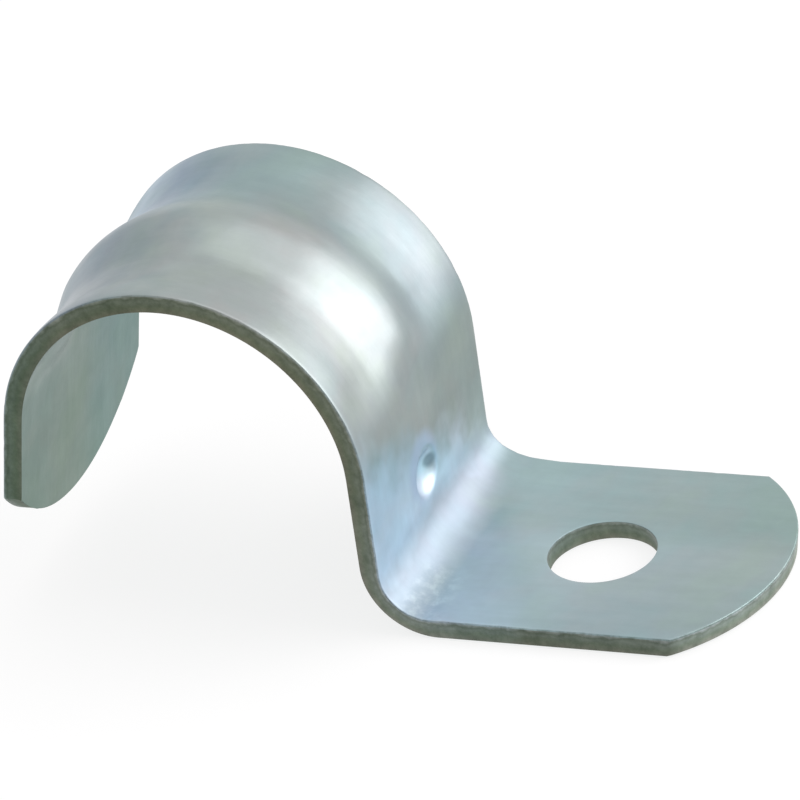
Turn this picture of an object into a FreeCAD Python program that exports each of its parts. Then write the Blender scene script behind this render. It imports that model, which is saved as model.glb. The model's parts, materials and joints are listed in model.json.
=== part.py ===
import FreeCAD, Part
import math
import os
from FreeCAD import Placement, Rotation, Vector

# One-hole conduit strap: one strip of plated steel sheet, bent into a saddle with a flange on one
# side and a short open lip on the other, embossed with a rib over the saddle and a dimple in the leg.
# Origin: centre of the screw hole on the underside of the flange, the face that meets the wall.
# +X runs along the flange, away from the saddle. +Y runs across the strip, along the conduit. +Z is up.
# Lengths are in millimetres, angles in degrees.

# Saddle and the conduit it holds, which bears in the two valleys beside the rib
conduit_diameter = 21.34
conduit_clearance = 0.08
seat_gap = 0.61

# Strip
sheet = 1.28
band_width = 19.15
end_radius = 12.39
shear_lean = 0.2

# Flange and its screw hole
hole_diameter = 7.1
hole_reach = 11.06
hole_setover = 0.46

# Leg between saddle and flange
leg_lean = 2.0
bend_radius = 2.87
heel_radius = 4.66

# Open lip on the far side of the saddle
lip_splay = 11.6
lip_length = 10.8

# Rib over the saddle and the valley on each side of it, pressed into a sheet of even wall
rib_width = 9.0
rib_height = 0.54
valley_width = 0.5
valley_depth = 0.41
wave_ease = 0.34
rib_stop_flange = 6.0
rib_stop_lip = 16.0
rib_runout = 18.0
runout_steps = 8

# Round dimple pressed into the leg's outer face, in line with the screw hole
dimple_diameter = 3.3
dimple_depth = 0.65
dimple_gap = 0.55
dimple_round = 0.35

# Values worked out from the sizes above
inner_radius = conduit_diameter / 2 + conduit_clearance + valley_depth
outer_radius = inner_radius + sheet
axis_x = -(outer_radius + hole_reach)
axis_z = inner_radius + seat_gap
mid_y = hole_setover
front_y = mid_y - band_width / 2
back_y = mid_y + band_width / 2
leg_angle = -leg_lean
lip_angle = 180 - lip_splay
across = Vector(0, band_width, 0)
right = Vector(1, 0, 0)
up = Vector(0, 0, 1)
overshoot = sheet


# Directions and points in the side view
def outward(angle):
    turn = math.radians(angle)
    return Vector(math.cos(turn), 0, math.sin(turn))


def tangent(angle):
    """Direction of travel round the saddle as the angle grows, from the flange side to the lip."""
    return outward(angle + 90)


def saddle_point(angle, radius, y=front_y):
    return Vector(axis_x, y, axis_z) + outward(angle) * radius


def saddle_arc(start, end, radius):
    middle = saddle_point((start + end) / 2, radius)
    return Part.Arc(saddle_point(start, radius), middle, saddle_point(end, radius)).toShape()


def straight(start, end):
    return Part.LineSegment(start, end).toShape()


# Cross-section of the strip over the saddle, with a share of the rib's and the valleys' full size
def wave(start, end):
    """S-curve across the strip that leaves and arrives level."""
    ease = Vector(0, (end.y - start.y) * wave_ease, 0)
    curve = Part.BezierCurve()
    curve.setPoles([start, start + ease, end - ease, end])
    return curve.toShape()


def skin_edges(angle, radius, share):
    """Outer or inner skin from the front edge to the back: margin, valley, rib, valley, margin."""
    low = radius - valley_depth * share
    rib_side = rib_width / 2
    margin_side = rib_side + valley_width
    front = saddle_point(angle, radius, front_y)
    front_valley_start = saddle_point(angle, low, mid_y - margin_side)
    front_valley_end = saddle_point(angle, low, mid_y - rib_side)
    crest = saddle_point(angle, radius + rib_height * share, mid_y)
    back_valley_start = saddle_point(angle, low, mid_y + rib_side)
    back_valley_end = saddle_point(angle, low, mid_y + margin_side)
    back = saddle_point(angle, radius, back_y)
    return [
        wave(front, front_valley_start),
        straight(front_valley_start, front_valley_end),
        wave(front_valley_end, crest),
        wave(crest, back_valley_start),
        straight(back_valley_start, back_valley_end),
        wave(back_valley_end, back),
    ]


def rib_section(angle, share):
    outer = skin_edges(angle, outer_radius, share)
    inner = skin_edges(angle, inner_radius, share)
    back = straight(saddle_point(angle, outer_radius, back_y), saddle_point(angle, inner_radius, back_y))
    front = straight(saddle_point(angle, inner_radius, front_y), saddle_point(angle, outer_radius, front_y))
    return Part.Wire(outer + [back] + inner[::-1] + [front])


# Saddle: the full rib is revolved, and each end of it fades into the plain sheet
def full_saddle(start, end):
    face = Part.Face(rib_section(start, 1))
    return face.revolve(Vector(axis_x, mid_y, axis_z), Vector(0, -1, 0), end - start)


def rib_end(full, plain):
    """Loft from the full rib to the plain sheet along an even S-curve of height."""
    sections = []
    for step in range(runout_steps + 1):
        gone = step / runout_steps
        share = 1 - gone * gone * (3 - 2 * gone)
        sections.append(rib_section(full + (plain - full) * gone, share))
    return Part.makeLoft(sections, True, False)


# Leg, bend and flange
def leg_point(radius, level):
    """Point at height level on the straight leg that leaves the saddle at this radius."""
    top = saddle_point(leg_angle, radius)
    down = tangent(leg_angle) * -1
    return top + down * ((level - top.z) / down.z)


def bend_points(corner, radius):
    """Start, middle and end of the round between the leg and the flange."""
    down = tangent(leg_angle) * -1
    reach = radius * math.tan(math.radians(90 + leg_lean) / 2)
    start = corner - down * reach
    end = corner + right * reach
    centre = end + up * radius
    middle = centre + (corner - centre).normalize() * radius
    return start, middle, end


def flange_side():
    reach = end_radius + overshoot
    top_start, top_middle, top_end = bend_points(leg_point(outer_radius, sheet), bend_radius)
    heel_start, heel_middle, heel_end = bend_points(leg_point(inner_radius, 0), heel_radius)
    top_tip = Vector(reach, front_y, sheet)
    low_tip = Vector(reach, front_y, 0)
    outline = Part.Wire([
        saddle_arc(rib_stop_flange, leg_angle, outer_radius),
        straight(saddle_point(leg_angle, outer_radius), top_start),
        Part.Arc(top_start, top_middle, top_end).toShape(),
        straight(top_end, top_tip),
        straight(top_tip, low_tip),
        straight(low_tip, heel_end),
        Part.Arc(heel_end, heel_middle, heel_start).toShape(),
        straight(heel_start, saddle_point(leg_angle, inner_radius)),
        saddle_arc(leg_angle, rib_stop_flange, inner_radius),
        straight(saddle_point(rib_stop_flange, inner_radius), saddle_point(rib_stop_flange, outer_radius)),
    ])
    return Part.Face(outline).extrude(across)


def lip_side():
    stop = 180 - rib_stop_lip
    down = tangent(lip_angle) * (lip_length + overshoot)
    outer_end = saddle_point(lip_angle, outer_radius) + down
    inner_end = saddle_point(lip_angle, inner_radius) + down
    outline = Part.Wire([
        saddle_arc(stop, lip_angle, outer_radius),
        straight(saddle_point(lip_angle, outer_radius), outer_end),
        straight(outer_end, inner_end),
        straight(inner_end, saddle_point(lip_angle, inner_radius)),
        saddle_arc(lip_angle, stop, inner_radius),
        straight(saddle_point(stop, inner_radius), saddle_point(stop, outer_radius)),
    ])
    return Part.Face(outline).extrude(across)


# Ends and hole: what the shear and the punch take away
def end_waste(centre, along, out):
    """Sheet outside the round end, whose edge leans in towards the underside."""
    half_band = band_width / 2
    start = math.sqrt(end_radius ** 2 - half_band ** 2) / 2
    depth = sheet + overshoot * 2
    corner = Vector(start, -half_band - overshoot, -overshoot)
    block = Part.makeBox(end_radius + overshoot * 2 - start, band_width + overshoot * 2, depth, corner)
    lean = shear_lean / sheet
    low_radius = end_radius - lean * (sheet + overshoot)
    high_radius = end_radius + lean * overshoot
    disc = Part.makeCone(low_radius, high_radius, depth, Vector(0, 0, -overshoot))
    waste = block.cut(disc)
    waste.Placement = Placement(centre, Rotation(along, out.cross(along), out, "ZXY"))
    return waste


def flange_waste():
    return end_waste(Vector(0, mid_y, 0), right, up)


def lip_waste():
    along = tangent(lip_angle)
    centre = saddle_point(lip_angle, inner_radius, mid_y) + along * (lip_length - end_radius)
    return end_waste(centre, along, outward(lip_angle))


def screw_hole():
    return Part.makeCylinder(hole_diameter / 2, sheet + overshoot * 2, Vector(0, 0, -overshoot))


# Dimple: a round-nosed press from the outside, with the bump that it pushes through
nose_radius = ((dimple_diameter / 2) ** 2 + dimple_depth ** 2) / (2 * dimple_depth)
dimple_z = sheet + bend_radius + dimple_gap + dimple_diameter / 2


def dimple_centre():
    """Centre of the dimple on the leg's outer face. The screw hole is at y = 0, and so is the dimple."""
    centre = leg_point(outer_radius, dimple_z)
    return Vector(centre.x, 0, centre.z)


def nose(grow):
    """Round nose of the press, with its centre outside the sheet."""
    centre = dimple_centre() + outward(leg_angle) * (nose_radius - dimple_depth)
    return Part.makeSphere(nose_radius + grow, centre)


def bump():
    """The part of the grown nose that stands proud of the leg's inner face."""
    size = nose_radius + sheet
    out = outward(leg_angle)
    along = tangent(leg_angle)
    block = Part.makeBox(size * 2, size * 2, size, Vector(-size, -size, -size))
    seat = dimple_centre() - out * (sheet / 2)
    block.Placement = Placement(seat, Rotation(along, out.cross(along), out, "ZXY"))
    return nose(sheet).common(block)


def dimple_rims(shape):
    """The dent's rim on the outer face and the bump's foot on the inner face."""
    rims = []
    for edge in shape.Edges:
        box = edge.BoundBox
        near = (box.Center - dimple_centre()).Length < dimple_diameter
        if near and box.DiagonalLength < dimple_diameter * 2:
            rims.append(edge)
    return rims


# Strap
full_flange = rib_stop_flange + rib_runout
full_lip = 180 - rib_stop_lip - rib_runout
pieces = [
    full_saddle(full_flange, full_lip),
    rib_end(full_flange, rib_stop_flange),
    rib_end(full_lip, 180 - rib_stop_lip),
    lip_side(),
    bump(),
]
strap = flange_side().fuse(pieces)
strap = strap.cut([flange_waste(), lip_waste(), screw_hole(), nose(0)])
strap = strap.removeSplitter()
strap = strap.makeFillet(dimple_round, dimple_rims(strap))
strap = strap.Solids[0]

os.makedirs("parts", exist_ok=True)
strap.exportStep("parts/strap.step")
print("strap", "valid", strap.isValid(), "volume", round(strap.Volume, 2), "box", strap.BoundBox)
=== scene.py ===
import json
import math

import bmesh
import bpy
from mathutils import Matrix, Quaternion, Vector, noise


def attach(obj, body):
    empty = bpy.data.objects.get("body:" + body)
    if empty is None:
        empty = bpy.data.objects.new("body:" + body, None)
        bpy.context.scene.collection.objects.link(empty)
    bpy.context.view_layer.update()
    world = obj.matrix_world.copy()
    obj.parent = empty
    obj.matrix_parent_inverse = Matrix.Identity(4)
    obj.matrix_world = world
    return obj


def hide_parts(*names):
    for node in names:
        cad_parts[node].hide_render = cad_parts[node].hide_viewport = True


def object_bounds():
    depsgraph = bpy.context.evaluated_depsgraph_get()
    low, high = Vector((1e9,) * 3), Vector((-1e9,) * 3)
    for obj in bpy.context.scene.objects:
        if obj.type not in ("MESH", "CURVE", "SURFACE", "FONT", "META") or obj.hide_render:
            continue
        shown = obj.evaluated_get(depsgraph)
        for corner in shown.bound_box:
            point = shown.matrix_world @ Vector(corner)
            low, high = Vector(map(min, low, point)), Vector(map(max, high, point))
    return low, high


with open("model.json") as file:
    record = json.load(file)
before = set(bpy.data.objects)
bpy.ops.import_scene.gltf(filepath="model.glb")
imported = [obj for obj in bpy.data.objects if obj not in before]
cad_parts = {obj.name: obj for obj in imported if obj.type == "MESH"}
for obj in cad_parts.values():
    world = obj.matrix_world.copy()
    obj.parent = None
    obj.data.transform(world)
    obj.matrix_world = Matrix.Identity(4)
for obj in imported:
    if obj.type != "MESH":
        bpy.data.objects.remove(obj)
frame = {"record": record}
cad_low, cad_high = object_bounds()

# The strap is made the way the press makes it: a flat blank with its hole, then the sheared edges,
# then the rib, the dimple and the bends. The blank is worked in millimetres: x runs along the strip
# with the screw hole at 0 and the lip at the far negative end, y across it, z through the sheet.
MM = 0.001

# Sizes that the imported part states; the conduit bears in the valleys on each side of the rib
mounts = {mount["name"]: mount for mount in frame["record"]["mounts"]}
hole_radius = mounts["screw_hole"]["dims"]["r_mm"]
sheet = mounts["screw_hole"]["dims"]["length_mm"]
seat_radius = mounts["conduit_saddle"]["dims"]["r_mm"]
seat_width = mounts["conduit_saddle"]["dims"]["length_mm"]
axis_x, mid_y, axis_z = [place / MM for place in mounts["conduit_saddle"]["pos_m"]]
end_radius = cad_high[0] / MM
band_width = (cad_high[1] - cad_low[1]) / MM
crest_z = cad_high[2] / MM

# Bends and ends
shear_lean = 0.2
leg_lean = 2.0
bend_radius = 2.87
heel_radius = 4.66
lip_splay = 11.6
lip_length = 10.8

# Rib over the saddle and the valleys beside it
valley_width = 0.5
valley_depth = 0.41
rib_stop_flange = 6.0
rib_stop_lip = 16.0
rib_runout = 18.0

# Dimple in the leg: its place on the bent leg, and along the flat strip for the ring, painted highlight and
# painted shadow round and in it
dimple_diameter = 3.3
dimple_depth = 0.65
dimple_z = 6.35
dimple_y = 0
dimple_x = -16.43
dimple_blend = 0.12
dimple_fade = 1.0

# Unevenness of the sheet, and the rise of the bend's back end where it meets the flange
unevenness = 0.008
uneven_along = 7.0
uneven_across = 3.2
lift_height = 0.24
lift_middle = -9.6
lift_reach = 3.6

# Edges left by the press: drawn over on the struck side, torn below, bitten along the two long sides
struck_round = 0.12
burr_round = 0.03
hole_round = 0.04
bite_depth = 0.07
bite_margin = 0.2
bite_ease = 0.15
bite_start = 0.72
bite_rise = 0.2

# Fineness of the blank's mesh
patch_x = -6.3
ring_cuts = 22
side_steps = 36
fine_step = 0.13
coarse_step = 0.3
fine_half_width = 2.6
wall_cuts = 4
path_steps = 64
touch = 0.0001
hole_slack = 1.05
sharp_angle = 28

# Names of what the mesh keeps of the flat blank, and the strip map's units to a millimetre
STRIP_MAP = "strip"
STRIP_SCALE = 0.01
DEPTH = "sheet_depth"

# Camera, in degrees and millimetres
camera_turn = 27.01
camera_rise = 30.276
camera_roll = -10.534
camera_lens = 316.83
camera_sensor = 36
camera_distance = 447.33
camera_aim = (-12.30, 0.17, 11.63)

half_width = band_width / 2
half_rib = seat_width / 2 - valley_width
inner_radius = seat_radius + valley_depth
outer_radius = inner_radius + sheet
rib_height = crest_z - axis_z - outer_radius
nose_radius = ((dimple_diameter / 2) ** 2 + dimple_depth ** 2) / (2 * dimple_depth)
corner_x = math.sqrt(end_radius ** 2 - half_width ** 2)
leg_angle = -leg_lean
lip_angle = 180 - lip_splay
bend_turn = 90 + leg_lean
right = Vector((1, 0, 0))
up = Vector((0, 0, 1))


def smooth_step(share):
    share = min(max(share, 0), 1)
    return share * share * (3 - 2 * share)


# Side view of the bent strip
def outward(angle):
    turn = math.radians(angle)
    return Vector((math.cos(turn), 0, math.sin(turn)))


def tangent(angle):
    return outward(angle + 90)


def saddle_point(angle, radius):
    return Vector((axis_x, 0, axis_z)) + outward(angle) * radius


def skin_path(skin_radius, level, round_radius):
    """One skin as five stretches: flange, bend, leg, saddle and lip, each by the share gone along it."""
    down = -tangent(leg_angle)
    leg_top = saddle_point(leg_angle, skin_radius)
    corner = leg_top + down * ((level - leg_top.z) / down.z)
    reach = round_radius * math.tan(math.radians(bend_turn) / 2)
    leg_foot = corner - down * reach
    bend_start = corner + right * reach
    bend_centre = bend_start + up * round_radius
    flange_start = Vector((patch_x, 0, level))
    lip_start = saddle_point(lip_angle, skin_radius)

    def flange(share):
        return flange_start.lerp(bend_start, share)

    def bend(share):
        return bend_centre + outward(270 - bend_turn * share) * round_radius

    def leg(share):
        return leg_foot.lerp(leg_top, share)

    def saddle(share):
        return saddle_point(leg_angle + (lip_angle - leg_angle) * share, skin_radius)

    def lip(share):
        return lip_start + tangent(lip_angle) * (lip_length * share)

    return [flange, bend, leg, saddle, lip]


under_path = skin_path(inner_radius, 0, heel_radius)
struck_path = skin_path(outer_radius, sheet, bend_radius)
FLANGE, BEND, LEG, SADDLE, LIP = range(5)


def stretch_length(stretch):
    """Length of a stretch half way through the sheet, measured over short steps."""
    points = []
    for step in range(path_steps + 1):
        share = step / path_steps
        points.append(under_path[stretch](share).lerp(struck_path[stretch](share), 0.5))
    return sum((b - a).length for a, b in zip(points, points[1:]))


lengths = [stretch_length(stretch) for stretch in range(5)]
starts = [sum(lengths[:stretch]) for stretch in range(6)]


def stretch_at(run):
    """Which stretch a distance from the patch's edge falls on, and the share gone along it."""
    stretch = FLANGE
    while stretch < LIP and run > starts[stretch + 1]:
        stretch += 1
    return stretch, (run - starts[stretch]) / lengths[stretch]


# Flat blank
def lip_reach(y):
    """How far the lip goes beyond the saddle at this place across the strip."""
    return lip_length - end_radius + math.sqrt(end_radius ** 2 - (y - mid_y) ** 2)


def columns():
    """Places across the strip, close together in the middle, where the dimple and the rib's crest are."""
    fine = round(fine_half_width / fine_step)
    coarse = round((half_width - fine_half_width) / coarse_step)
    inside = [fine_half_width * i / fine for i in range(fine)]
    outside = [fine_half_width + (half_width - fine_half_width) * i / coarse for i in range(coarse + 1)]
    half = inside + outside
    return [mid_y - place for place in half[:0:-1]] + [mid_y + place for place in half]


def flange_outline():
    """Points round the flange: its edge towards the bend, the back side, the round end, the front side."""
    across = columns()
    corner_turn = math.asin(half_width / end_radius)
    points = [Vector((patch_x, y, 0)) for y in across]
    back = mid_y + half_width
    front = mid_y - half_width
    for i in range(1, side_steps):
        points.append(Vector((patch_x + (corner_x - patch_x) * i / side_steps, back, 0)))
    count = len(across) - 1
    for i in range(count + 1):
        turn = corner_turn * (1 - 2 * i / count)
        points.append(Vector((end_radius * math.cos(turn), mid_y + end_radius * math.sin(turn), 0)))
    for i in range(1, side_steps):
        points.append(Vector((corner_x + (patch_x - corner_x) * i / side_steps, front, 0)))
    return points


def flange_patch(bm):
    """Flange round its hole: a ring from the hole's rim drawn out to the outline. Returns the bend edge."""
    outline = flange_outline()
    rim = bmesh.ops.create_circle(bm, segments=len(outline), radius=hole_radius)["verts"]
    for vert, place in zip(rim, outline):
        vert.co = place.normalized() * hole_radius
    ring = bmesh.ops.extrude_edge_only(bm, edges=bm.edges[:])["geom"]
    outer = [item for item in ring if isinstance(item, bmesh.types.BMVert)]
    for vert in outer:
        nearest = min(outline, key=lambda place: (place.normalized() * hole_radius - vert.co).length)
        vert.co = nearest
    radial = [edge for edge in bm.edges if edge.calc_length() and len(edge.link_faces) == 2]
    bmesh.ops.subdivide_edges(bm, edges=radial, cuts=ring_cuts, use_grid_fill=True)
    return [edge for edge in bm.edges if all(abs(v.co.x - patch_x) < touch for v in edge.verts)]


def row_runs():
    """Distances of the rows from the patch's edge up to the end of the saddle."""
    steps = {FLANGE: coarse_step, BEND: fine_step, LEG: fine_step, SADDLE: coarse_step}
    runs = []
    for stretch, step in steps.items():
        count = math.ceil(lengths[stretch] / step)
        runs += [starts[stretch] + lengths[stretch] * (i + 1) / count for i in range(count)]
    return runs


def draw_out(bm, edges, place_at):
    """One more row of faces along the strip; place_at gives each new vertex its x from its y."""
    made = bmesh.ops.extrude_edge_only(bm, edges=edges)["geom"]
    for item in made:
        if isinstance(item, bmesh.types.BMVert):
            item.co.x = place_at(item.co.y)
    free = [item for item in made if isinstance(item, bmesh.types.BMEdge) and len(item.link_faces) == 1]
    return [edge for edge in free if all(abs(v.co.x - place_at(v.co.y)) < touch for v in edge.verts)]


def flat_blank():
    bm = bmesh.new()
    chain = flange_patch(bm)
    for run in row_runs():
        chain = draw_out(bm, chain, lambda y: patch_x - run)
    lip_rows = math.ceil(lip_length / coarse_step)
    for row in range(1, lip_rows + 1):
        chain = draw_out(bm, chain, lambda y: patch_x - starts[LIP] - lip_reach(y) * row / lip_rows)
    return bm


SKIN, SHEARED = 0, 1


def thicken(bm):
    """Gives the blank its thickness: the flat sheet is drawn up from the underside to the struck side."""
    made = bmesh.ops.extrude_face_region(bm, geom=bm.faces[:], use_keep_orig=True)["geom"]
    raised = [item for item in made if isinstance(item, bmesh.types.BMVert)]
    bmesh.ops.translate(bm, verts=raised, vec=up * sheet)
    bmesh.ops.recalc_face_normals(bm, faces=bm.faces[:])
    for face in bm.faces:
        face.material_index = SHEARED if abs(face.normal.z) < 0.5 else SKIN


def in_hole(vert):
    return math.hypot(vert.co.x, vert.co.y) < hole_radius * hole_slack


def lean_ends(bm):
    """The shear leaves the round ends leaning in towards the underside."""
    lip_centre_x = patch_x - starts[LIP] - lip_length + end_radius
    for vert in bm.verts:
        for centre_x, way in ((0, 1), (lip_centre_x, -1)):
            arm = Vector((vert.co.x - centre_x, vert.co.y - mid_y, 0))
            if arm.x * way > corner_x - touch and arm.length > end_radius - touch:
                lean = shear_lean * (1 - vert.co.z / sheet)
                vert.co -= arm.normalized() * lean


def rim_edges(bm, height, hole):
    """Edges between skin and sheared wall at one height, round the hole or round the outline."""
    rims = []
    for edge in bm.edges:
        kinds = {face.material_index for face in edge.link_faces}
        at_height = all(abs(v.co.z - height) < touch for v in edge.verts)
        if len(kinds) == 2 and at_height and in_hole(edge.verts[0]) == hole:
            rims.append(edge)
    return rims


def roll_edges(bm):
    """Rounds the struck edge that the punch drew over, and just breaks the torn edge below."""
    rolls = (
        (sheet, False, struck_round, 3),
        (sheet, True, hole_round, 2),
        (0, False, burr_round, 1),
        (0, True, burr_round, 1),
    )
    for height, hole, width, count in rolls:
        rolled = bmesh.ops.bevel(
            bm, geom=rim_edges(bm, height, hole), offset=width, offset_type="OFFSET",
            segments=count, profile=0.5, affect="EDGES", material=-1)["faces"]
        for face in rolled:
            face.material_index = SKIN if height else SHEARED
    for vert in bm.verts:
        vert.co.y = min(max(vert.co.y, mid_y - half_width), mid_y + half_width)


def cut_walls(bm):
    """Rows across the sheared walls, so that their marks have something to move."""
    tall = [edge for edge in bm.edges if abs(edge.verts[0].co.z - edge.verts[1].co.z) > sheet / 2]
    bmesh.ops.subdivide_edges(bm, edges=tall, cuts=wall_cuts, use_grid_fill=True)


# Press work
def rib_lift(angle, y):
    """Height of the rib, or depth of the valley beside it, at this angle and this place across."""
    rise = smooth_step((angle - rib_stop_flange) / rib_runout)
    fall = smooth_step((180 - rib_stop_lip - angle) / rib_runout)
    away = abs(y - mid_y)
    rib = smooth_step(1 - away / half_rib)
    margin_foot = half_rib + valley_width
    margin = smooth_step((away - margin_foot) / (half_width - margin_foot))
    return ((rib_height + valley_depth) * rib - valley_depth * (1 - margin)) * rise * fall


def nose_depth(away, grow):
    """How far the round-nosed punch, or the bump that it raises, reaches below the skin it meets."""
    radius = nose_radius + grow
    reach = math.sqrt(max(radius ** 2 - away ** 2, 0)) - (nose_radius - dimple_depth) - grow
    return (reach + math.sqrt(reach ** 2 + dimple_blend ** 2)) / 2


def dimple_push(point, y, depth_share):
    """Inward travel of the leg at a point of the side view."""
    away = math.hypot(point.z - dimple_z, y - dimple_y)
    if away > dimple_diameter:
        return 0
    dent = nose_depth(away, 0)
    swell = nose_depth(away, sheet)
    return (swell + (dent - swell) * depth_share) * smooth_step((dimple_diameter - away) / dimple_fade)


def sink(co):
    """The sheet is never quite even: how far this place lies below its true skin."""
    place = Vector((co.x / uneven_along, co.y / uneven_across, 0))
    share = 0.5 + noise.noise(place) * 0.5 + noise.noise(place * 2.6) * 0.25
    return unevenness * min(max(share, 0), 1)


def shear_bite(co):
    """Sideways bite that the shear leaves along the top of the strip's two long edges."""
    side = 1 if co.y > mid_y else -1
    inside = abs(co.y - mid_y) - half_width + bite_margin
    near = smooth_step(inside / bite_ease) * smooth_step((co.z / sheet - bite_start) / bite_rise)
    if not near:
        return 0
    coarse = noise.noise(Vector((co.x * 1.3, side * 4, 0)))
    fine = noise.noise(Vector((co.x * 3.7, side * 9, 2)))
    return -side * near * max(coarse + fine * 0.5, 0) * bite_depth


def lift(co):
    """The bend runs into the flange more slowly towards the back edge: how far the sheet rises there."""
    near = smooth_step(1 - abs(co.x - lift_middle) / lift_reach)
    return up * (lift_height * near * smooth_step((co.y - mid_y) / half_width))


def press(co):
    """Carries a point of the flat blank to its place on the bent and embossed strap."""
    depth_share = co.z / sheet
    run = patch_x - co.x
    if run <= 0:
        return Vector((co.x, co.y + shear_bite(co), co.z)) + lift(co)
    stretch, share = stretch_at(run)
    point = under_path[stretch](share).lerp(struck_path[stretch](share), depth_share)
    if stretch == SADDLE:
        angle = leg_angle + (lip_angle - leg_angle) * share
        point += outward(angle) * rib_lift(angle, co.y)
        point -= outward(angle) * sink(co)
    if stretch in (BEND, LEG):
        point -= outward(leg_angle) * dimple_push(point, co.y, depth_share)
    point += lift(co)
    point.y = co.y + shear_bite(co)
    return point


def mark_blank(bm):
    """Keeps each point's place on the flat blank, for patterns that follow the sheet through its bends."""
    strip_map = bm.loops.layers.uv.new(STRIP_MAP)
    depth = bm.verts.layers.float.new(DEPTH)
    for vert in bm.verts:
        vert[depth] = vert.co.z / sheet
    for face in bm.faces:
        for loop in face.loops:
            loop[strip_map].uv = (loop.vert.co.x * STRIP_SCALE, loop.vert.co.y * STRIP_SCALE)


def strap_mesh():
    bm = flat_blank()
    thicken(bm)
    lean_ends(bm)
    roll_edges(bm)
    cut_walls(bm)
    mark_blank(bm)
    for vert in bm.verts:
        vert.co = press(vert.co)
    bmesh.ops.scale(bm, vec=(MM, MM, MM), verts=bm.verts[:])
    bmesh.ops.recalc_face_normals(bm, faces=bm.faces[:])
    for face in bm.faces:
        face.smooth = True
    for edge in bm.edges:
        edge.smooth = edge.calc_face_angle(0) < math.radians(sharp_angle)
    mesh = bpy.data.meshes.new("strap_sheet")
    bm.to_mesh(mesh)
    bm.free()
    return mesh


# Making of finishes
def add_node(tree, kind, inputs=None, **settings):
    """A node with its settings made; inputs take values or other nodes' sockets."""
    made = tree.nodes.new(kind)
    for name, value in settings.items():
        setattr(made, name, value)
    for socket, value in (inputs or {}).items():
        if isinstance(value, bpy.types.NodeSocket):
            tree.links.new(value, made.inputs[socket])
        else:
            made.inputs[socket].default_value = value
    return made


def new_finish(name):
    material = bpy.data.materials.new(name)
    material.use_nodes = True
    tree = material.node_tree
    return material, tree, tree.nodes["Principled BSDF"]


def solid_places(tree):
    """Place on the strap, in millimetres."""
    places = add_node(tree, "ShaderNodeTexCoord").outputs["Object"]
    scale = (1 / MM, 1 / MM, 1 / MM)
    return add_node(tree, "ShaderNodeMapping", {"Vector": places, "Scale": scale}).outputs["Vector"]


def strip_places(tree, along=1, across=1):
    """Place on the flat strip, in millimetres, stretched or squeezed along or across it."""
    places = add_node(tree, "ShaderNodeUVMap", uv_map=STRIP_MAP).outputs["UV"]
    scale = (along / STRIP_SCALE, across / STRIP_SCALE, 1)
    return add_node(tree, "ShaderNodeMapping", {"Vector": places, "Scale": scale}).outputs["Vector"]


def strip_axes(tree):
    """Millimetres along and across the flat strip from the screw hole; the lip is far below 0."""
    places = add_node(tree, "ShaderNodeSeparateXYZ", {"Vector": strip_places(tree)})
    return places.outputs["X"], places.outputs["Y"]


def distance_on_strip(tree, along, across):
    """Distance over the flat strip from one of its points, in millimetres."""
    inputs = {0: strip_places(tree), 1: (along, across, 0)}
    return add_node(tree, "ShaderNodeVectorMath", inputs, operation="DISTANCE").outputs["Value"]


def sheet_depth(tree):
    """Share gone through the sheet, from 0 on the underside to 1 on the struck side."""
    return add_node(tree, "ShaderNodeAttribute", attribute_name=DEPTH).outputs["Fac"]


def clouds(tree, places, scale, detail=2, roughness=0.5):
    """Soft random values about 0.5, with about so many patches to a millimetre."""
    inputs = {"Vector": places, "Scale": scale, "Detail": detail, "Roughness": roughness}
    return add_node(tree, "ShaderNodeTexNoise", inputs).outputs["Fac"]


def ramp(tree, value, stops):
    """Colour by value, with a stop for each (place, colour)."""
    made = add_node(tree, "ShaderNodeValToRGB", {"Fac": value})
    elements = made.color_ramp.elements
    while len(elements) < len(stops):
        elements.new(0.5)
    for element, (place, colour) in zip(elements, stops):
        element.position = place
        element.color = (*colour, 1)
    return made.outputs["Color"]


def level(tree, value, low, high, to_low, to_high, smooth=True):
    """Carries a value from one range to another."""
    inputs = {"Value": value, "From Min": low, "From Max": high, "To Min": to_low, "To Max": to_high}
    kind = "SMOOTHSTEP" if smooth else "LINEAR"
    return add_node(tree, "ShaderNodeMapRange", inputs, interpolation_type=kind).outputs["Result"]


def strip_ramp(tree, along, stops):
    """Colour by distance along the strip, with a stop for each (millimetres, colour), lip first."""
    lip, tip = stops[0][0], stops[-1][0]
    share = level(tree, along, lip, tip, 0, 1, smooth=False)
    return ramp(tree, share, [((run - lip) / (tip - lip), colour) for run, colour in stops])


def maths(tree, way, first, second=0):
    return add_node(tree, "ShaderNodeMath", {0: first, 1: second}, operation=way).outputs["Value"]


def blend(tree, share, first, second, way="MIX"):
    """Two colours blended by a share."""
    made = add_node(tree, "ShaderNodeMix", data_type="RGBA", blend_type=way)
    for place, value in (("Factor_Float", share), ("A_Color", first), ("B_Color", second)):
        socket = next(item for item in made.inputs if item.identifier == place)
        if isinstance(value, bpy.types.NodeSocket):
            tree.links.new(value, socket)
        else:
            socket.default_value = value
    return next(item for item in made.outputs if item.identifier == "Result_Color")


def tinted(tree, first, second, share=1):
    """A colour multiplied by a second one, wholly or by a share."""
    return blend(tree, share, first, second, "MULTIPLY")


def bump(tree, height, distance, below=None):
    inputs = {"Height": height, "Distance": distance, "Strength": 1}
    if below is not None:
        inputs["Normal"] = below
    return add_node(tree, "ShaderNodeBump", inputs).outputs["Normal"]
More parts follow.
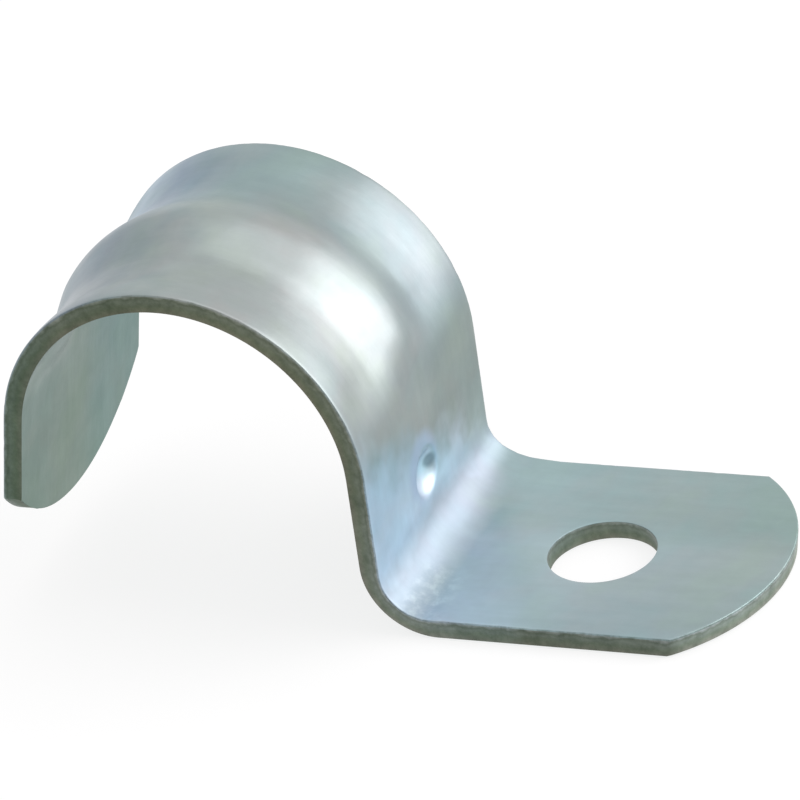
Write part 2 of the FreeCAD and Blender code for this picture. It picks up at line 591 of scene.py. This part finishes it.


# Zinc plate. Tints along the strip, lip first: the metal's colour, with painted light bounced between leg and
# flange lightening the bend, and painted shade darkening the upper leg and the saddle near the lip
plate_colour_and_light = [
    (-66.9, (0.330, 0.400, 0.385)),
    (-52.0, (0.312, 0.373, 0.400)),
    (-48.5, (0.300, 0.360, 0.392)),
    (-46.0, (0.246, 0.302, 0.335)),
    (-43.5, (0.262, 0.326, 0.336)),
    (-40.0, (0.375, 0.416, 0.402)),
    (-34.0, (0.392, 0.425, 0.414)),
    (-27.0, (0.335, 0.385, 0.378)),
    (-23.8, (0.288, 0.342, 0.338)),
    (-21.2, (0.315, 0.370, 0.352)),
    (-18.8, (0.283, 0.340, 0.333)),
    (-12.0, (0.415, 0.490, 0.525)),
    (-7.0, (0.445, 0.550, 0.580)),
    (0.0, (0.390, 0.490, 0.510)),
    (6.0, (0.360, 0.460, 0.470)),
    (12.4, (0.345, 0.445, 0.435)),
]

# The half behind the rib is bluer and darker: painted shade in the valley behind the rib, a painted glint in
# that valley near the lip, and blue painted into the back band's highlight
back_shade_and_glint = [
    (-51.0, (0.80, 0.92, 0.99)),
    (-48.5, (1.14, 1.28, 1.38)),
    (-44.0, (0.97, 1.04, 1.16)),
    (-41.0, (0.82, 0.94, 0.99)),
    (-36.0, (0.80, 0.93, 0.94)),
    (-30.0, (0.85, 0.90, 0.94)),
    (-26.0, (0.98, 1.01, 1.06)),
    (-22.0, (0.86, 0.89, 0.88)),
    (-18.0, (0.81, 0.87, 0.84)),
]
back_fade = (0, 4)

# Blue of the passivating bath, which stood in the bend, with painted light bounced from the flange lightening
# the lower leg and darker tints over the middle of the bend; more so at the front than at the back
bath_blue_and_bounce_light = [
    (-20.0, (0.45, 0.59, 0.69)),
    (-16.5, (0.49, 0.615, 0.70)),
    (-14.8, (0.55, 0.67, 0.76)),
    (-12.6, (0.378, 0.448, 0.505)),
    (-9.5, (0.410, 0.485, 0.545)),
    (-5.0, (0.43, 0.53, 0.58)),
]
bath_middle = -12.5
bath_slant = 0.5
bath_fade = (3.0, 8.0)
bath_dulling = 0.18
bath_calm = 0.25

# Bright flecks on the front half, where the bend runs into the flange
fleck_tints = [
    (0.38, (0.93, 0.94, 0.95)),
    (0.50, (1, 1, 1)),
    (0.64, (1.18, 1.16, 1.12)),
]
fleck_start = (-11.5, -10.5)
fleck_end = (-8.5, -7)
fleck_side = (-5, -2)

# Round the dimple: a bluer ring, a painted highlight on the dent's front side against its darker back side,
# and a painted shadow spot in it
halo_inside = (1.4, 1.8)
halo_outside = (1.7, 2.8)
halo_share = 0.75
halo_tint = (0.42, 0.52, 0.66, 1)
halo_place = (dimple_x - 0.5, dimple_y - 0.4)
dent_fade = (1.2, 1.7)
dent_share = 0.9
dent_front_highlight = (0.66, 0.78, 0.88, 1)
dent_back = (0.50, 0.60, 0.66, 1)
dent_divide = (0.1, 0.8)
spot_place = (dimple_x - 0.05, dimple_y + 1.15)
spot_fade = (0.25, 0.7)
spot_share = 0.85
spot_shadow_tint = (0.19, 0.245, 0.28, 1)
dent_clear = (1.4, 2.2)

# Colour play of the passivate, and the faint light and dark of sheet and plate
play_tints = [
    (0.32, (0.955, 0.99, 0.965)),
    (0.46, (0.96, 0.98, 1.0)),
    (0.58, (1.0, 0.965, 0.985)),
    (0.70, (1.0, 0.985, 0.95)),
]
mottle_tints = [(0.30, (0.95, 0.95, 0.95)), (0.70, (1, 1, 1))]
streak_tints = [(0.35, (0.95, 0.95, 0.95)), (0.65, (1, 1, 1))]
streak_along = 0.10
streak_across = 0.9

# Rim darkened, a painted shade that dims the bright line along the struck edge, and made rougher, by share of
# the sheet's depth
rim_start = (0.5, 0.85)
rim_end = (0.955, 0.998)
rim_shade_tint = (0.64, 0.64, 0.60, 1)
rim_dulling = 0.25

# The flange grows brighter and warmer from front to back, and the underside is darker and greener all over, a
# painted shade
flange_fade = (-4, 4)
flange_sides = (-8, 7)
flange_front = (0.88, 0.90, 0.91, 1)
flange_back = (1.09, 1.04, 1.03, 1)
underside_shade_tint = (0.57, 0.69, 0.58, 1)

# Heights of the relief, in metres
wave_height = 0.00003
rolled_height = 0.000016
grain_height = 0.0000022


def dimple_ring_and_painted_light(tree, tint, across, from_dimple):
    """Bluer ring, the dent's painted highlight and darker side, and a painted shadow spot, laid over the
    plate's tint.
    """
    from_halo = distance_on_strip(tree, *halo_place)
    halo_in = level(tree, from_dimple, *halo_inside, 0, halo_share)
    halo_out = level(tree, from_halo, *halo_outside, halo_share, 0)
    tint = blend(tree, maths(tree, "MINIMUM", halo_in, halo_out), tint, halo_tint)
    dent = blend(tree, level(tree, across, *dent_divide, 0, 1), dent_front_highlight, dent_back)
    tint = blend(tree, level(tree, from_dimple, *dent_fade, dent_share, 0), tint, dent)
    from_spot = distance_on_strip(tree, *spot_place)
    return blend(tree, level(tree, from_spot, *spot_fade, spot_share, 0), tint, spot_shadow_tint)


def flecks(tree, along, across):
    """Colour of the flecks, and the share to which each place has them."""
    share = level(tree, along, *fleck_start, 0, 1)
    share = maths(tree, "MULTIPLY", share, level(tree, along, *fleck_end, 1, 0))
    share = maths(tree, "MULTIPLY", share, level(tree, across, *fleck_side, 1, 0))
    return ramp(tree, clouds(tree, strip_places(tree), 1.1, 3, 0.6), fleck_tints), share


def uneven_plate(tree, tint, places):
    """Colour play, mottle and the faint streaks that rolling leaves along the strip."""
    tint = tinted(tree, tint, ramp(tree, clouds(tree, places, 0.16, 3, 0.55), play_tints))
    tint = tinted(tree, tint, ramp(tree, clouds(tree, places, 0.9, 4, 0.6), mottle_tints))
    streaked = strip_places(tree, streak_along, streak_across)
    return tinted(tree, tint, ramp(tree, clouds(tree, streaked, 1, 4, 0.6), streak_tints))


def plate_relief(tree, places, calm):
    """Long waves, rolling marks and the plate's grain; the first two lie calmer in the bend."""
    long_waves = clouds(tree, strip_places(tree, 0.45, 1), 0.35, 2, 0.5)
    waves = bump(tree, maths(tree, "MULTIPLY", long_waves, calm), wave_height)
    rolling = clouds(tree, strip_places(tree, 0.35, 1.2), 0.9, 3, 0.6)
    rolled = bump(tree, maths(tree, "MULTIPLY", rolling, calm), rolled_height, waves)
    return bump(tree, clouds(tree, places, 2.4, 2, 0.5), grain_height, rolled)


def zinc_plate():
    """Zinc plate with a clear blue passivate: satin metal, blue where the bath stood in the bend, with
    painted light and shade laid into its colour.
    """
    material, tree, shader = new_finish("zinc_plate")
    places = solid_places(tree)
    along, across = strip_axes(tree)
    wander = level(tree, clouds(tree, places, 0.22, 3, 0.55), 0.3, 0.7, -1.2, 1.2, smooth=False)
    wandering = maths(tree, "ADD", along, wander)
    # The plate's colour along the strip, with painted light and shade laid into it
    tint = strip_ramp(tree, wandering, plate_colour_and_light)
    behind = level(tree, across, *back_fade, 0, 1)
    # Painted shade, painted glint and painted blue highlight on the half behind the rib
    tint = tinted(tree, tint, strip_ramp(tree, along, back_shade_and_glint), behind)

    from_bend = maths(tree, "ABSOLUTE", maths(tree, "SUBTRACT", wandering, bath_middle))
    from_bend = maths(tree, "ADD", from_bend, maths(tree, "MULTIPLY", across, bath_slant))
    in_bath_and_bounce_light = level(tree, from_bend, *bath_fade, 1, 0)
    # Bath blue with painted bounce light on the lower leg and bend
    tint = blend(tree, in_bath_and_bounce_light, tint, strip_ramp(tree, wandering, bath_blue_and_bounce_light))
    tint = tinted(tree, tint, *flecks(tree, along, across))
    from_dimple = distance_on_strip(tree, dimple_x, dimple_y)
    # Ring, painted highlight and painted shadow of the dimple
    tint = dimple_ring_and_painted_light(tree, tint, across, from_dimple)
    tint = uneven_plate(tree, tint, places)

    depth = sheet_depth(tree)
    on_rim = maths(tree, "MULTIPLY", level(tree, depth, *rim_start, 0, 1), level(tree, depth, *rim_end, 1, 0))
    nicks = level(tree, clouds(tree, places, 1.6, 3, 0.7), 0.38, 0.60, 1, 0.35)
    # Painted shade over the rim's bright line
    tint = tinted(tree, tint, rim_shade_tint, maths(tree, "MULTIPLY", on_rim, nicks))
    by_side = blend(tree, level(tree, across, *flange_sides, 0, 1, smooth=False), flange_front, flange_back)
    tint = tinted(tree, tint, by_side, level(tree, along, *flange_fade, 0, 1))
    # Painted shade over the whole underside
    tint = blend(tree, depth, tinted(tree, tint, underside_shade_tint), tint)
    tree.links.new(tint, shader.inputs["Base Color"])
    shader.inputs["Metallic"].default_value = 1

    haze = level(tree, clouds(tree, places, 0.35, 3, 0.6), 0.3, 0.7, 0.31, 0.38)
    dulled = maths(tree, "MULTIPLY", in_bath_and_bounce_light, level(tree, from_dimple, *dent_clear, 0, bath_dulling))
    haze = maths(tree, "ADD", haze, dulled)
    haze = maths(tree, "ADD", haze, maths(tree, "MULTIPLY", on_rim, rim_dulling))
    tree.links.new(haze, shader.inputs["Roughness"])
    calm = level(tree, from_bend, *bath_fade, bath_calm, 1)
    tree.links.new(plate_relief(tree, places, calm), shader.inputs["Normal"])
    return material


# Sheared edge. Olive metal by depth through the sheet: torn below, burnished near the struck side
shear_tints = [
    (0.02, (0.17, 0.18, 0.135)),
    (0.35, (0.135, 0.165, 0.115)),
    (0.62, (0.150, 0.180, 0.140)),
    (0.78, (0.115, 0.140, 0.105)),
    (0.95, (0.22, 0.25, 0.22)),
]
torn_tints = [(0.3, (0.70, 0.72, 0.68)), (0.7, (1.1, 1.08, 1.06))]

# Lighter and darker spells along the cut, lip first, largely painted light and shade; the flange's round end
# is the brightest, a painted highlight on its end face
cut_light_and_shade = [
    (-66.9, (0.82, 0.95, 0.96)),
    (-55.0, (0.83, 0.93, 0.95)),
    (-50.0, (0.80, 0.87, 0.89)),
    (-47.0, (1.0, 0.98, 1.0)),
    (-43.5, (0.86, 0.87, 0.85)),
    (-40.5, (0.96, 0.94, 0.94)),
    (-36.5, (1.16, 1.10, 1.11)),
    (-28.0, (1.09, 1.04, 1.04)),
    (-20.0, (1.05, 1.03, 1.07)),
    (-9.4, (1.65, 1.60, 1.90)),
    (-7.5, (1.30, 1.32, 1.56)),
    (-5.0, (1.03, 1.10, 1.25)),
    (-3.2, (1.10, 1.15, 1.33)),
    (-1.8, (0.93, 0.93, 1.0)),
    (1.0, (1.02, 1.03, 1.13)),
    (7.7, (1.09, 1.08, 1.21)),
    (8.2, (1.75, 1.75, 2.05)),
    (10.8, (2.25, 2.25, 2.70)),
    (12.4, (2.10, 2.08, 2.50)),
]
hole_wall = (3.8, 4.4)
hole_wall_level = 1.3
cut_level = 0.95
score_height = 0.000015
torn_height = 0.00002


def sheared_edge():
    """Bare cut through a thin plate, with a smoother burnished band near the struck side."""
    material, tree, shader = new_finish("sheared_edge")
    places = solid_places(tree)
    along = strip_axes(tree)[0]
    wander = level(tree, clouds(tree, places, 1.3, 3, 0.6), 0.3, 0.7, -0.10, 0.10, smooth=False)
    band = maths(tree, "ADD", sheet_depth(tree), wander)
    olive = ramp(tree, band, shear_tints)
    olive = tinted(tree, olive, ramp(tree, clouds(tree, places, 1.6, 4, 0.65), torn_tints))
    from_hole = distance_on_strip(tree, 0, 0)
    punched = level(tree, from_hole, *hole_wall, hole_wall_level, cut_level)
    grey = add_node(tree, "ShaderNodeCombineColor", {0: punched, 1: punched, 2: punched})
    olive = tinted(tree, olive, grey.outputs["Color"])
    # Painted light and shade along the cut
    olive = tinted(tree, olive, strip_ramp(tree, along, cut_light_and_shade))
    tree.links.new(olive, shader.inputs["Base Color"])
    shader.inputs["Metallic"].default_value = 1
    tree.links.new(level(tree, band, 0.5, 0.75, 0.55, 0.42), shader.inputs["Roughness"])
    scores = bump(tree, clouds(tree, strip_places(tree), 2.5, 2, 0.5), score_height)
    torn = bump(tree, clouds(tree, places, 2.2, 3, 0.6), torn_height, scores)
    tree.links.new(torn, shader.inputs["Normal"])
    return material


def link(thing):
    bpy.context.scene.collection.objects.link(thing)
    return thing


strap = link(bpy.data.objects.new("strap_sheet", strap_mesh()))
strap.data.materials.append(zinc_plate())
strap.data.materials.append(sheared_edge())
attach(strap, "root")
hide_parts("strap")


# Camera: looks down over the flange's front corner with a long lens
def place_camera():
    """Turn and rise are the camera's place round the strap, roll its turn about its own line of sight."""
    turn, rise = math.radians(camera_turn), math.radians(camera_rise)
    back = Vector((math.sin(turn) * math.cos(rise), -math.cos(turn) * math.cos(rise), math.sin(rise)))
    data = bpy.data.cameras.new("camera")
    data.lens = camera_lens
    data.sensor_width = camera_sensor
    data.clip_start = 0.01
    data.clip_end = 10
    camera = link(bpy.data.objects.new("camera", data))
    level_view = back.to_track_quat("Z", "Y")
    camera.rotation_mode = "QUATERNION"
    camera.rotation_quaternion = level_view @ Quaternion((0, 0, 1), math.radians(camera_roll))
    camera.location = (Vector(camera_aim) + back * camera_distance) * MM
    bpy.context.scene.camera = camera


# Stage: a white floor with a painted pool of light beside the flange, a white room and four soft lamps
floor_size = 3
floor_gap = 0.0001
floor_pale = 0.8
floor_shaded = 0.25
floor_glow = 0.78
light_pool_middle = (0.12, 0.04, 0)
light_pool_fade = (0.04, 0.12)
light_pool_glow = 0.8
room_light = 0.7
warm_white = (1, 0.95, 0.97)

# Compass turn from +X, rise above the floor, distance, width, height, radiance, colour
softboxes = {
    "side_softbox": (15, 21, 0.40, 0.36, 0.58, 1.3, warm_white),
    "wide_softbox": (29, 20, 0.60, 0.88, 0.84, 1.2, warm_white),
    "low_softbox": (70, 7, 0.60, 0.36, 0.22, 0.6, warm_white),
    "top_softbox": (80, 76, 0.60, 0.50, 0.50, 0.50, (1, 0.97, 0.98)),
}


def grey_shade(value):
    return (value, value, value, 1)


def glow(tree, strength):
    inputs = {"Color": grey_shade(1), "Strength": strength}
    return add_node(tree, "ShaderNodeEmission", inputs).outputs["Emission"]


def matt(tree, shade):
    return add_node(tree, "ShaderNodeBsdfDiffuse", {"Color": grey_shade(shade)}).outputs["BSDF"]


def camera_white(tree, background, others):
    """The shader that the camera, metal and glass see, and the one for all other rays."""
    path = add_node(tree, "ShaderNodeLightPath")
    seen = path.outputs["Is Camera Ray"]
    for ray in ("Is Glossy Ray", "Is Transmission Ray"):
        seen = maths(tree, "MAXIMUM", seen, path.outputs[ray])
    return add_node(tree, "ShaderNodeMixShader", {0: seen, 1: others, 2: background}).outputs["Shader"]


def make_floor():
    """White floor that keeps a faint soft shadow, with a glowing painted pool of light beside the flange."""
    bm = bmesh.new()
    bmesh.ops.create_grid(bm, x_segments=1, y_segments=1, size=floor_size)
    bmesh.ops.translate(bm, verts=bm.verts[:], vec=(0, 0, -floor_gap))
    mesh = bpy.data.meshes.new("floor")
    bm.to_mesh(mesh)
    bm.free()
    material, tree = new_finish("floor")[:2]
    places = add_node(tree, "ShaderNodeTexCoord").outputs["Object"]
    # Painted pool of light: the floor glows brighter near this point, and the metal reflects it
    from_light_pool = add_node(tree, "ShaderNodeVectorMath", {0: places, 1: light_pool_middle}, operation="DISTANCE")
    extra = level(tree, from_light_pool.outputs["Value"], *light_pool_fade, light_pool_glow, 0)
    white = matt(tree, floor_shaded)
    for strength in (floor_glow, extra):
        white = add_node(tree, "ShaderNodeAddShader", {0: white, 1: glow(tree, strength)}).outputs["Shader"]
    surface = camera_white(tree, white, matt(tree, floor_pale))
    tree.links.new(surface, tree.nodes["Material Output"].inputs["Surface"])
    mesh.materials.append(material)
    link(bpy.data.objects.new("floor", mesh))


def make_world():
    world = bpy.data.worlds.new("studio")
    bpy.context.scene.world = world
    world.use_nodes = True
    tree = world.node_tree
    white, room = [
        add_node(tree, "ShaderNodeBackground", {"Color": grey_shade(1), "Strength": strength})
        for strength in (1, room_light)]
    surface = camera_white(tree, white.outputs["Background"], room.outputs["Background"])
    tree.links.new(surface, tree.nodes["World Output"].inputs["Surface"])


def make_softbox(name, turn, rise, distance, width, height, radiance, colour):
    """A soft lamp round the strap, facing it."""
    turn, rise = math.radians(turn), math.radians(rise)
    away = Vector((math.cos(turn) * math.cos(rise), math.sin(turn) * math.cos(rise), math.sin(rise)))
    data = bpy.data.lights.new(name, "AREA")
    data.shape = "ELLIPSE"
    data.size = width
    data.size_y = height
    face_area = math.pi / 4 * width * height
    data.energy = radiance * math.pi * face_area
    data.color = colour
    lamp = link(bpy.data.objects.new(name, data))
    lamp.rotation_mode = "QUATERNION"
    lamp.rotation_quaternion = away.to_track_quat("Z", "Y")
    lamp.location = Vector(camera_aim) * MM + away * distance


place_camera()
make_floor()
make_world()
for name, setting in softboxes.items():
    make_softbox(name, *setting)

bpy.context.scene.view_settings.view_transform = 'Standard'
